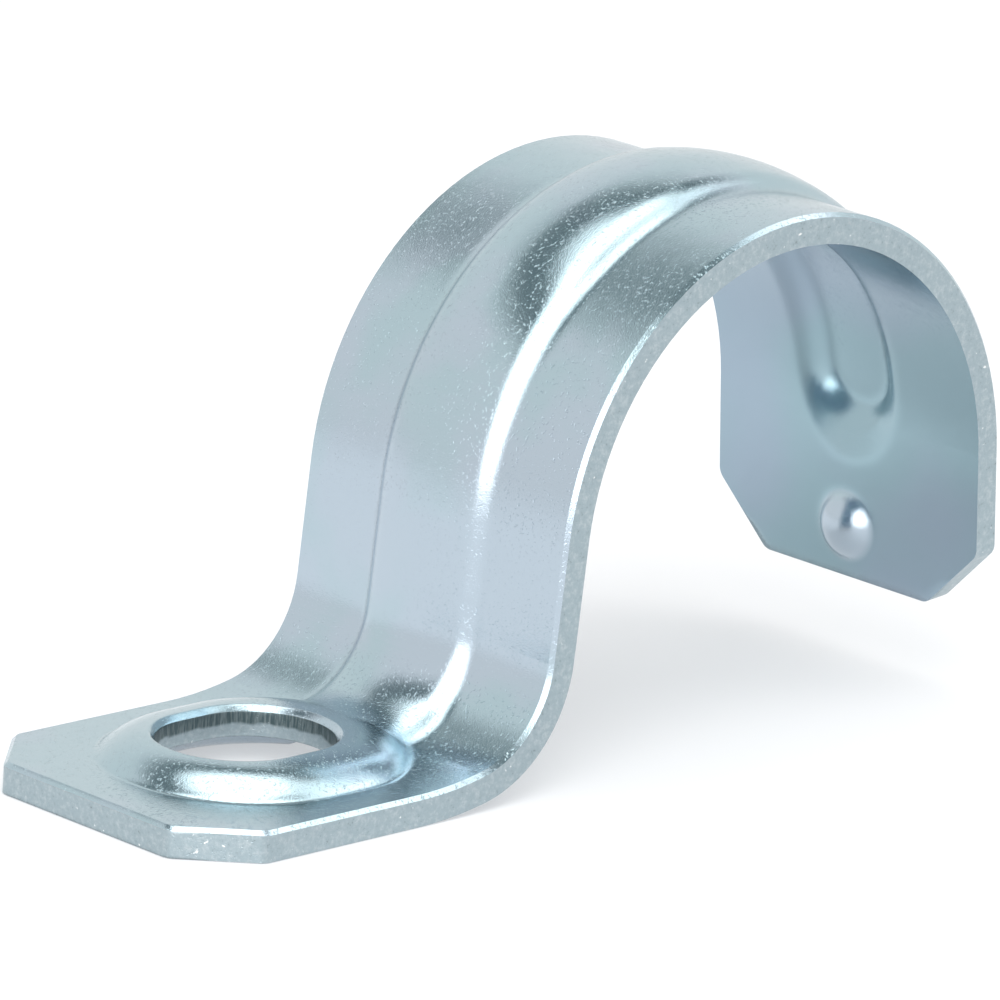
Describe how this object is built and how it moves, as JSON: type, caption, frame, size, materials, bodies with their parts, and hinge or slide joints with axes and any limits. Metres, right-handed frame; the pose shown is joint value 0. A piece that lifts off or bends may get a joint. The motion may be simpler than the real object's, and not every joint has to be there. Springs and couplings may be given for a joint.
{
  "type": "conduit strap",
  "caption": "Pressed steel strap that holds a rigid conduit against a wall with a single screw through its slotted foot.",
  "frame": {"origin": "on the conduit's axis, halfway along the strap's width", "axes": "+X from the foot to the free tip, +Y along the conduit, +Z away from the mounting surface"},
  "size_m": [0.0659, 0.022, 0.0343],
  "materials": {
    "zinc_plate": "bright zinc plating, satin"
  },
  "bodies": {
    "root": {"strap": "zinc_plate"}
  },
  "joints": []
}
